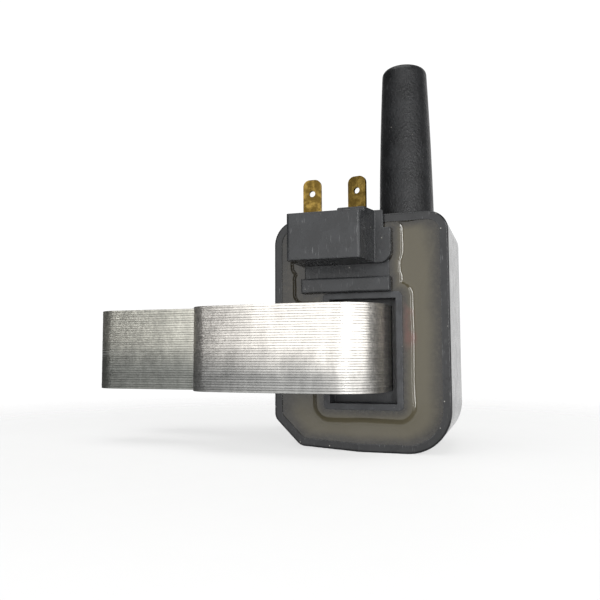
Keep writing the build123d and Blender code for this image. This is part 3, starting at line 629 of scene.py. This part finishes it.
# ---- windings ----
# The primary is enamelled copper wire under a wrap of polyester film. The secondary is far finer wire, one
# coil in each slot of its own bobbin. All of it is sealed in the resin.
COPPER = (0.60, 0.24, 0.11, 1)
COPPER_GROOVE_SHADE = (0.33, 0.10, 0.045, 1)
PRIMARY_PITCH = 0.7 * MM
SECONDARY_PITCH = 0.12 * MM
FILM_AMBER = (0.55, 0.30, 0.07, 1)
FILM_PALE = (0.70, 0.42, 0.13, 1)
SLOT_CREAM = (0.23, 0.20, 0.14, 1)
SLOT_SHEEN = (0.30, 0.26, 0.19, 1)


def enamelled(name, pitch):
    """Turns of enamelled wire side by side, with painted shade in the grooves between them."""
    tree, shader, material = new_material(name, metallic=1.0, coat_weight=0.6, coat_roughness=0.15)
    place = spot(tree)
    turn = sums(tree, "FRACT", sums(tree, "DIVIDE", apart(tree, place)["Y"], pitch))
    crown = sums(tree, "SINE", sums(tree, "MULTIPLY", turn, math.pi))
    patch = noise(tree, place, 500.0, 3.0)
    # Painted shade in the grooves between the turns.
    crown_unshaded = sums(tree, "MULTIPLY", eased(tree, crown, 0.0, 0.7), eased(tree, patch, 0.2, 0.7, 0.75, 1.0))
    tree.links.new(mixed(tree, crown_unshaded, COPPER_GROOVE_SHADE, COPPER), shader.inputs["Base Color"])
    tree.links.new(eased(tree, patch, 0.3, 0.7, 0.22, 0.34), shader.inputs["Roughness"])
    bumped(tree, shader, crown, pitch * 0.4)
    return material


def film():
    """Amber polyester film with the edges of its wraps."""
    tree, shader, material = new_material("polyester_film", coat_weight=0.5)
    place = spot(tree)
    wrap = noise(tree, place, 150.0, 2.0, 0.5, (1, 3, 1))
    colour = mixed(tree, eased(tree, wrap, 0.35, 0.65), FILM_AMBER, FILM_PALE)
    tree.links.new(colour, shader.inputs["Base Color"])
    tree.links.new(eased(tree, wrap, 0.3, 0.7, 0.2, 0.32), shader.inputs["Roughness"])
    bumped(tree, shader, wrap, 0.00008)
    return material


PRIMARY_COPPER = enamelled("primary_copper", PRIMARY_PITCH)
SECONDARY_COPPER = enamelled("secondary_copper", SECONDARY_PITCH)
finish_node("primary_winding", PRIMARY_COPPER)
finish_node("secondary_winding", SECONDARY_COPPER)
finish_node("primary_insulation", film())
for lead in ("primary_lead_left", "primary_lead_right", "secondary_start_lead", "ht_lead"):
    finish_node(lead, PRIMARY_COPPER)
finish_node("secondary_bobbin", moulded(
    "slot_nylon", SLOT_CREAM, SLOT_SHEEN, grain_size=0.4 * MM, grain_depth=0.02 * MM,
    rough=0.4, rub=0.2, scratch=0.1, specks=0.0))


# ---- terminal block ----
# One black moulding holds both tabs in front of the rim, closes the case's opening above the bobbin, and
# hooks over the top of the case beside the tower. It is set in the resin.
BLOCK_BLACK = (0.024, 0.025, 0.0265, 1)
BLOCK_SHEEN = (0.036, 0.0375, 0.040, 1)
finish_node("terminal_block", moulded(
    "block_nylon", BLOCK_BLACK, BLOCK_SHEEN, grain_size=0.35 * MM, grain_depth=0.04 * MM,
    rough=0.22, rub=0.9, scratch=0.75, specks=0.6, level=0.34, edge=0.5 * MM))


# ---- terminal tabs ----
# Two 4.8 mm blades, stamped from brass strip and moulded into the block. The brass has aged brown.
BRASS = (0.27, 0.18, 0.045, 1)
BRASS_AGED = (0.12, 0.077, 0.018, 1)


def aged_brass():
    """Brass strip with its rolling lines and brown patches."""
    tree, shader, material = new_material("aged_brass", metallic=1.0)
    place = spot(tree)
    rolled = noise(tree, place, 2600.0, 3.0, 0.6, (1, 1, 0.08))
    patch = noise(tree, place, 480.0, 4.0, 0.65)
    colour = mixed(tree, eased(tree, patch, 0.42, 0.66), BRASS_AGED, BRASS)
    tree.links.new(colour, shader.inputs["Base Color"])
    worn = eased(tree, patch, 0.35, 0.7, 0.46, 0.3)
    rough = sums(tree, "ADD", worn, eased(tree, rolled, 0.3, 0.7, -0.04, 0.05))
    tree.links.new(rough, shader.inputs["Roughness"])
    bumped(tree, shader, rolled, 0.00002)
    return material


AGED_BRASS = aged_brass()
finish_node("terminal_tab_left", AGED_BRASS)
finish_node("terminal_tab_right", AGED_BRASS)


# ---- solder joints ----
# Tin solder holds the wires on the tabs' feet and on the socket's pin. It is run on before the case is
# filled, and lies inside the resin.
SOLDER_GREY = (0.52, 0.52, 0.53, 1)
SOLDER_BRIGHT = (0.68, 0.68, 0.67, 1)


def solder():
    """Grey solder, slightly frosted."""
    tree, shader, material = new_material("solder", metallic=1.0)
    place = spot(tree)
    frost = noise(tree, place, 2400.0, 3.0)
    colour = mixed(tree, eased(tree, frost, 0.35, 0.65), SOLDER_GREY, SOLDER_BRIGHT)
    tree.links.new(colour, shader.inputs["Base Color"])
    tree.links.new(eased(tree, frost, 0.3, 0.7, 0.2, 0.42), shader.inputs["Roughness"])
    bumped(tree, shader, frost, 0.00002)
    return material


SOLDER = solder()
finish_node("terminal_solder_joints", SOLDER)
finish_node("ht_solder_joint", SOLDER)


# ---- case ----
# A tub moulded in black glass filled plastic, open at the front and filled with resin to just under its
# rim.
CASE_BLACK = (0.011, 0.0114, 0.0125, 1)
CASE_SHEEN = (0.019, 0.0197, 0.021, 1)
finish_node("case_shell", moulded(
    "case_nylon", CASE_BLACK, CASE_SHEEN, grain_size=0.4 * MM, grain_depth=0.004 * MM,
    rough=0.22, rub=0.85, scratch=0.5, specks=0.7, coat=0.55, level=0.1))


# ---- high tension tower ----
# A slender moulded barrel with the pebbled grain of a coarse mould, pressed and bonded into the case's top.
# A turned brass cup stands in a pocket at the bottom of its bore.
TOWER_BLACK = (0.0085, 0.0088, 0.0096, 1)
TOWER_SHEEN = (0.016, 0.0166, 0.018, 1)
finish_node("ht_tower", moulded(
    "tower_nylon", TOWER_BLACK, TOWER_SHEEN, grain_size=0.6 * MM, grain_depth=0.22 * MM,
    rough=0.27, rub=0.5, scratch=0.2, specks=0.5))
finish_node("ht_socket", AGED_BRASS)


# ---- potting resin ----
# Olive grey epoxy, cast round everything inside the case. It creeps up the case's walls and stands in a
# low mound round the bobbin and the block, where it wets them. Lattice, creep and mound are in millimetres.
RESIN_LATTICE = 0.2
LATTICE_ROW = 0.866
LATTICE_THINNED = 3
LATTICE_CLEAR = 0.55
FINE_BY_MOUND = 1.6
FINE_BY_WALL = 1.5
WALL_CREEP = 0.45
WALL_CREEP_WIDTH = 0.8
MOUND = 0.5
MOUND_REACH = 2.1
MOUND_FALL = 0.62
MOUND_WANDER = 0.25
WANDER_LENGTH = 9
RESIN_UNDER_RIM = 0.08
RESIN_OLIVE = (0.072, 0.062, 0.036, 1)
# Painted shade colour for the resin's edges and its upper left.
RESIN_SHADE = (0.013, 0.011, 0.008, 1)
RESIN_GRIT = (0.08, 0.07, 0.045, 1)
RESIN_RED = (0.10, 0.035, 0.025, 1)
# Painted shade over the resin's upper left: whole left of the first X and above the first Z, gone right of
# the second X or below the second Z.
FULL_SHADE_TO_X = 53.5 * MM
NO_SHADE_FROM_X = 60.5 * MM
FULL_SHADE_ABOVE_Z = 4 * MM
NO_SHADE_BELOW_Z = -6 * MM
STAIN_X = 80.8 * MM
STAIN_Z = 16.5 * MM


def epoxy():
    """Cloudy epoxy, with painted shade along its edges and over its upper left, and red-brown stains beside
    the bobbin.
    """
    tree, shader, material = new_material("cast_epoxy", ior=1.55, specular_ior_level=0.42)
    place = spot(tree)
    way = apart(tree, place)
    edge = put(tree, "ShaderNodeAttribute", attribute_name="from_edge").outputs["Fac"]
    cloud = noise(tree, place, 130.0, 3.0, 0.5)
    grit = noise(tree, place, 1400.0, 3.0, 0.6)
    # Painted shade along the edges where the resin meets the walls and the parts, broken up by the cloud.
    depth = eased(tree, sums(tree, "ADD", edge, sums(tree, "MULTIPLY", cloud, 1.2)), 0.6, 3.4)
    # Painted shade over the upper left.
    unshaded_right = eased(tree, way["X"], FULL_SHADE_TO_X, NO_SHADE_FROM_X)
    unshaded_below = eased(tree, way["Z"], FULL_SHADE_ABOVE_Z, NO_SHADE_BELOW_Z)
    unshaded = sums(tree, "MAXIMUM", unshaded_right, unshaded_below)
    depth = sums(tree, "MULTIPLY", depth, sums(tree, "MULTIPLY_ADD", unshaded, 0.85, 0.15))
    colour = mixed(tree, depth, RESIN_SHADE, RESIN_OLIVE)
    beside = eased(tree, sums(tree, "ABSOLUTE", sums(tree, "SUBTRACT", way["X"], STAIN_X)), 0.0022, 0.0006)
    height = eased(tree, sums(tree, "ABSOLUTE", sums(tree, "SUBTRACT", way["Z"], STAIN_Z)), 0.010, 0.003)
    stain = sums(tree, "MULTIPLY", beside, sums(tree, "MULTIPLY", height, eased(tree, cloud, 0.42, 0.6)))
    colour = mixed(tree, sums(tree, "MULTIPLY", stain, 0.8), colour, RESIN_RED)
    colour = mixed(tree, eased(tree, grit, 0.4, 0.75, 0.0, 0.25), colour, RESIN_GRIT)
    tree.links.new(colour, shader.inputs["Base Color"])
    tree.links.new(eased(tree, grit, 0.3, 0.7, 0.08, 0.14), shader.inputs["Roughness"])
    bumped(tree, shader, sums(tree, "ADD", cloud, sums(tree, "MULTIPLY", grit, 0.04)), 0.12 * MM)
    return material


def to_line(points, ring):
    """How far each point is from a closed line."""
    ends = np.roll(ring, -1, axis=0)
    run = ends - ring
    length = np.maximum((run ** 2).sum(1), 1e-12)
    share = ((points[:, None] - ring) * run).sum(2) / length
    nearest = ring + np.clip(share, 0, 1)[..., None] * run
    return np.sqrt(((points[:, None] - nearest) ** 2).sum(2)).min(1)


def inside(points, all_rings):
    """True for the points that lie in the resin, between the outer line and the ones inside it."""
    crossings = np.zeros(len(points), int)
    for ring in all_rings:
        ends = np.roll(ring, -1, axis=0)
        for (x0, z0), (x1, z1) in zip(ring, ends):
            level = (points[:, 1] >= min(z0, z1)) & (points[:, 1] < max(z0, z1))
            if z0 != z1:
                cut = x0 + (points[:, 1] - z0) * (x1 - x0) / (z1 - z0)
                crossings += level & (points[:, 0] < cut)
    return crossings % 2 == 1


def poured_face(bm):
    """The flat front of the resin gives way to one that creeps up all it touches."""
    edge = bm.verts.layers.float.new("from_edge")
    level = min(v.co.y for v in bm.verts)
    front = [f for f in bm.faces if f.normal.y < -0.99 and abs(f.calc_center_median().y - level) < 1e-6]
    borders = sorted(rings(front), key=len)
    lines = [np.array([(v.co.x, v.co.z) for v in ring]) / MM for ring in borders]
    spans = [np.ptp(line[:, 0]) for line in lines]
    outer = int(np.argmax(spans))
    others = [line for i, line in enumerate(lines) if i != outer]
    low, high = lines[outer].min(0), lines[outer].max(0)
    across = np.arange(low[0], high[0], RESIN_LATTICE)
    up = np.arange(low[1], high[1], RESIN_LATTICE * LATTICE_ROW)
    lattice = np.array([(x + (j % 2) * RESIN_LATTICE / 2, z) for j, z in enumerate(up) for x in across])
    lattice = lattice[inside(lattice, lines)]
    from_wall = to_line(lattice, lines[outer])
    from_mound = np.abs(np.min([to_line(lattice, line) for line in others], axis=0) - MOUND_REACH)
    room = np.minimum(from_wall, MOUND_REACH - np.minimum(from_mound, MOUND_REACH))
    fine = (from_mound < FINE_BY_MOUND) | (from_wall < FINE_BY_WALL)
    used = fine | (np.arange(len(lattice)) % LATTICE_THINNED == 0)
    lattice = lattice[used & (room > RESIN_LATTICE * LATTICE_CLEAR)]
    flat = np.vstack([*lines, lattice])
    edges = []
    first = 0
    for line in lines:
        edges += [(first + i, first + (i + 1) % len(line)) for i in range(len(line))]
        first += len(line)
    made = delaunay_2d_cdt([Vector(p) for p in flat], edges, [], 0, 1e-6)
    points = np.array([tuple(v) for v in made[0]])
    wall = to_line(points, lines[outer])
    inner = np.min([to_line(points, line) for line in others], axis=0)
    wander = np.array([noise_at(Vector((x, z, 0)) / WANDER_LENGTH) for x, z in points]) * MOUND_WANDER
    rise = WALL_CREEP * np.exp(-wall / WALL_CREEP_WIDTH)
    rise += MOUND * np.exp(-np.maximum(inner - MOUND_REACH - wander, 0) / MOUND_FALL)
    headroom = (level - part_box("case_shell")[0].y) / MM - RESIN_UNDER_RIM
    rise = headroom * np.tanh(rise / headroom)
    raised = []
    for (x, z), h, near in zip(points, rise, np.minimum(wall, inner)):
        vert = bm.verts.new((x * MM, level - h * MM, z * MM))
        vert[edge] = near
        raised.append(vert)
    middles = np.array([points[list(f)].mean(0) for f in made[2]])
    keep = inside(middles, lines)
    for face in front:
        bm.faces.remove(face)
    for corners, wanted in zip(made[2], keep):
        if wanted:
            face = bm.faces.new([raised[c] for c in corners])
            face.normal_update()
            if face.normal.y > 0:
                face.normal_flip()
            face.smooth = True
    placed = {original: i for i, found in enumerate(made[3]) for original in found}
    first = 0
    for ring in borders:
        for i, vert in enumerate(ring):
            j = (i + 1) % len(ring)
            here, there = raised[placed[first + i]], raised[placed[first + j]]
            if vert is not ring[j] and here is not there:
                bm.faces.new((ring[j], vert, here, there))
                crest = bm.edges.get((here, there))
                crest.smooth = False
        first += len(ring)


def resin():
    """The cast resin in place of the CAD one."""
    bm = merged_copy("potting_resin")
    poured_face(bm)
    loose = [v for v in bm.verts if not v.link_faces]
    bmesh.ops.delete(bm, geom=loose, context="VERTS")
    mesh = bpy.data.meshes.new("potting_resin_cast")
    bm.to_mesh(mesh)
    bm.free()
    mesh.materials.append(epoxy())
    cast = bpy.data.objects.new("potting_resin_cast", mesh)
    bpy.context.scene.collection.objects.link(cast)
    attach(cast, "root")
    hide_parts("potting_resin")


resin()


# ---- floor, light and camera ----
# A pale disc that fades out between 70 and 260 mm from the coil's middle. A tall narrow light stands right
# of the camera, broad ones in front, at the right and overhead, and a thin weak one at the left.
FLOOR_RADIUS = 0.7
FLOOR_SIDES = 24
FLOOR_STRENGTH = 0.35
FADE_START = 0.07
FADE_END = 0.26
WHITE = (1.0, 1.0, 1.0, 1)
CAMERA_PLACE = (0.105336, -0.175874, 0.009794)
CAMERA_YAW = math.radians(18.115)
CAMERA_PITCH = math.radians(4.566)
CAMERA_ROLL = math.radians(0.245)
CAMERA_LENS = 39.231


def pale_floor():
    """A disc at the height of the part's lowest point."""
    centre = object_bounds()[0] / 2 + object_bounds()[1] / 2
    bm = bmesh.new()
    ring = [
        bm.verts.new((
            centre.x + FLOOR_RADIUS * math.cos(math.tau * i / FLOOR_SIDES),
            centre.y + FLOOR_RADIUS * math.sin(math.tau * i / FLOOR_SIDES),
            cad_low.z,
        ))
        for i in range(FLOOR_SIDES)
    ]
    bm.faces.new(ring)
    mesh = bpy.data.meshes.new("floor")
    bm.to_mesh(mesh)
    bm.free()
    tree, shader, material = new_material("pale_floor", roughness=0.6)
    place = spot(tree)
    away = put(tree, "ShaderNodeVectorMath", operation="DISTANCE")
    tree.links.new(place, away.inputs[0])
    away.inputs[1].default_value = (centre.x, centre.y, cad_low.z)
    shown = eased(tree, away.outputs["Value"], FADE_START, FADE_END, FLOOR_STRENGTH, 0.0)
    tree.links.new(shown, shader.inputs["Alpha"])
    paper = noise(tree, place, 90.0, 3.0)
    colour = mixed(tree, paper, (0.93, 0.93, 0.925, 1), (0.96, 0.96, 0.955, 1))
    tree.links.new(colour, shader.inputs["Base Color"])
    mesh.materials.append(material)
    floor = bpy.data.objects.new("floor", mesh)
    bpy.context.scene.collection.objects.link(floor)
    floor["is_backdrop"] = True


def surround():
    """White to look at. It lights the coil from behind, and only dimly from the other sides."""
    world = bpy.data.worlds.new("studio")
    world.use_nodes = True
    tree = world.node_tree
    tree.nodes.clear()
    way = put(tree, "ShaderNodeTexCoord").outputs["Generated"]
    split = apart(tree, way)
    lean = sums(tree, "MULTIPLY_ADD", split["X"], 0.15, split["Y"])
    bright = eased(tree, lean, 0.5, 0.95, 0.1, 1.0)
    shown = put(tree, "ShaderNodeLightPath").outputs["Is Camera Ray"]
    lit = put(tree, "ShaderNodeBackground", {"Strength": bright, "Color": WHITE})
    seen = put(tree, "ShaderNodeBackground", {"Strength": 1.05, "Color": WHITE})
    mix = tree.nodes.new("ShaderNodeMixShader")
    tree.links.new(shown, mix.inputs[0])
    tree.links.new(lit.outputs[0], mix.inputs[1])
    tree.links.new(seen.outputs[0], mix.inputs[2])
    out = tree.nodes.new("ShaderNodeOutputWorld")
    tree.links.new(mix.outputs[0], out.inputs["Surface"])
    bpy.context.scene.world = world


def panel(name, place, aim, size, watts):
    """A soft light that points at a place."""
    light = bpy.data.lights.new(name, "AREA")
    light.shape = "RECTANGLE"
    light.size, light.size_y = size
    light.energy = watts
    made = bpy.data.objects.new(name, light)
    made.location = place
    made.rotation_euler = (Vector(aim) - Vector(place)).to_track_quat("-Z", "Y").to_euler()
    bpy.context.scene.collection.objects.link(made)


def camera():
    """Low in front of the coil's right end, turned to the left and a little up."""
    yaw, pitch, roll = CAMERA_YAW, CAMERA_PITCH, CAMERA_ROLL
    level = Vector((math.cos(yaw), math.sin(yaw), 0))
    ahead = Vector((-math.sin(yaw), math.cos(yaw), 0))
    forward = ahead * math.cos(pitch) + Vector((0, 0, math.sin(pitch)))
    upward = Vector((0, 0, math.cos(pitch))) - ahead * math.sin(pitch)
    right = level * math.cos(roll) - upward * math.sin(roll)
    top = upward * math.cos(roll) + level * math.sin(roll)
    data = bpy.data.cameras.new("camera")
    data.sensor_width = 36.0
    data.lens = CAMERA_LENS
    data.clip_start = 0.005
    data.clip_end = 20.0
    made = bpy.data.objects.new("camera", data)
    turn = Matrix((right, top, -forward)).transposed().to_4x4()
    made.matrix_world = Matrix.Translation(CAMERA_PLACE) @ turn
    bpy.context.scene.collection.objects.link(made)
    bpy.context.scene.camera = made


pale_floor()
surround()
panel("key_panel", (0.275, -0.46, 0.10), (0.06, -0.01, 0.02), (0.032, 0.30), 0.78)
panel("front_panel", (-0.02, -0.48, 0.08), (0.05, -0.01, 0.02), (0.42, 0.56), 1.4)
panel("right_panel", (0.47, -0.30, 0.08), (0.06, -0.01, 0.02), (0.50, 0.50), 1.65)
panel("left_strip", (-0.35, -0.34, 0.06), (0.06, -0.01, 0.02), (0.015, 0.30), 0.08)
panel("overhead_panel", (0.02, -0.10, 0.55), (0.04, 0.0, 0.02), (0.5, 0.4), 1.6)
camera()
bpy.context.scene.view_settings.view_transform = "Standard"
